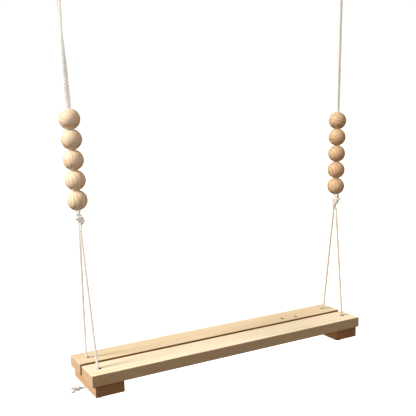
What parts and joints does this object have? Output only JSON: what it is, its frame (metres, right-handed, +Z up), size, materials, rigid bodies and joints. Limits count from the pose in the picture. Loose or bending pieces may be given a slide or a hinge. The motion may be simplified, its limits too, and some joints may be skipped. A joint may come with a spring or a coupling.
{
  "type": "plank swing",
  "caption": "Rope-hung wooden swing: two planks screwed to cross battens, a knotted rope on each side with sliding wooden beads, and steel ceiling fittings.",
  "frame": {"origin": "on the ceiling plane, at the centre of the rectangle of screw holes in the two ceiling plates", "axes": "+Z up into the ceiling, +X along the planks to the right, -Y towards the front of the seat"},
  "size_m": [1.064, 0.206, 1.351],
  "materials": {
    "planks": "planed softwood, lightly sanded, oiled or bare",
    "beads_left": "turned pale softwood",
    "beads_right": "turned softwood",
    "rope": "three-strand twisted white rope",
    "twine": "waxed whipping twine",
    "steel": "zinc plated steel",
    "screws": "yellow zinc plated countersunk screws"
  },
  "bodies": {
    "ceiling_fittings": {"left_eye": "steel", "left_ceiling_plate": "steel", "right_eye": "steel", "right_ceiling_plate": "steel"},
    "hanging_ropes": {"left_gather_knot": "rope", "left_upper_rope": "rope", "left_seizing": "twine", "left_thimble": "steel", "left_link": "steel", "left_link_nut": "steel", "right_gather_knot": "rope", "right_upper_rope": "rope", "right_seizing": "twine", "right_thimble": "steel", "right_link": "steel", "right_link_nut": "steel"},
    "seat": {"front_plank": "planks", "rear_plank": "planks", "left_batten": "planks", "right_batten": "planks", "left_batten_screws": "screws", "right_batten_screws": "screws", "left_front_stopper_knot": "rope", "left_rear_stopper_knot": "rope", "right_front_stopper_knot": "rope", "right_rear_stopper_knot": "rope", "left_rear_rope_tail": "rope", "left_front_leg_rope": "rope", "left_rear_leg_rope": "rope", "right_front_leg_rope": "rope", "right_rear_leg_rope": "rope"},
    "left_bead_1": {"left_bead_1": "beads_left"},
    "left_bead_2": {"left_bead_2": "beads_left"},
    "left_bead_3": {"left_bead_3": "beads_left"},
    "left_bead_4": {"left_bead_4": "beads_left"},
    "left_bead_5": {"left_bead_5": "beads_left"},
    "right_bead_1": {"right_bead_1": "beads_right"},
    "right_bead_2": {"right_bead_2": "beads_right"},
    "right_bead_3": {"right_bead_3": "beads_right"},
    "right_bead_4": {"right_bead_4": "beads_right"},
    "right_bead_5": {"right_bead_5": "beads_right"}
  },
  "joints": [
    {"name": "swing", "type": "hinge", "parent": "ceiling_fittings", "child": "hanging_ropes", "pos_m": [0, 0, -0.032], "axis": [1, 0, 0], "range_deg": [-50, 50]},
    {"name": "seat_pitch", "type": "hinge", "parent": "hanging_ropes", "child": "seat", "pos_m": [-0.47959, 0, -0.8036], "axis": [0.9996, 0, -0.0281], "range_deg": [-30, 30]},
    {"name": "left_bead_1_slide", "type": "slide", "parent": "hanging_ropes", "child": "left_bead_1", "axis": [-0.0394, 0, 0.9992], "range_m": [0, 0.07]},
    {"name": "left_bead_2_slide", "type": "slide", "parent": "left_bead_1", "child": "left_bead_2", "axis": [-0.0394, 0, 0.9992], "range_m": [0, 0.07]},
    {"name": "left_bead_3_slide", "type": "slide", "parent": "left_bead_2", "child": "left_bead_3", "axis": [-0.0394, 0, 0.9992], "range_m": [0, 0.07]},
    {"name": "left_bead_4_slide", "type": "slide", "parent": "left_bead_3", "child": "left_bead_4", "axis": [-0.0394, 0, 0.9992], "range_m": [0, 0.07]},
    {"name": "left_bead_5_slide", "type": "slide", "parent": "left_bead_4", "child": "left_bead_5", "axis": [-0.0394, 0, 0.9992], "range_m": [0, 0.07]},
    {"name": "right_bead_1_slide", "type": "slide", "parent": "hanging_ropes", "child": "right_bead_1", "axis": [0.0394, 0, 0.9992], "range_m": [0, 0.07]},
    {"name": "right_bead_2_slide", "type": "slide", "parent": "right_bead_1", "child": "right_bead_2", "axis": [0.0394, 0, 0.9992], "range_m": [0, 0.07]},
    {"name": "right_bead_3_slide", "type": "slide", "parent": "right_bead_2", "child": "right_bead_3", "axis": [0.0394, 0, 0.9992], "range_m": [0, 0.07]},
    {"name": "right_bead_4_slide", "type": "slide", "parent": "right_bead_3", "child": "right_bead_4", "axis": [0.0394, 0, 0.9992], "range_m": [0, 0.07]},
    {"name": "right_bead_5_slide", "type": "slide", "parent": "right_bead_4", "child": "right_bead_5", "axis": [0.0394, 0, 0.9992], "range_m": [0, 0.07]}
  ]
}
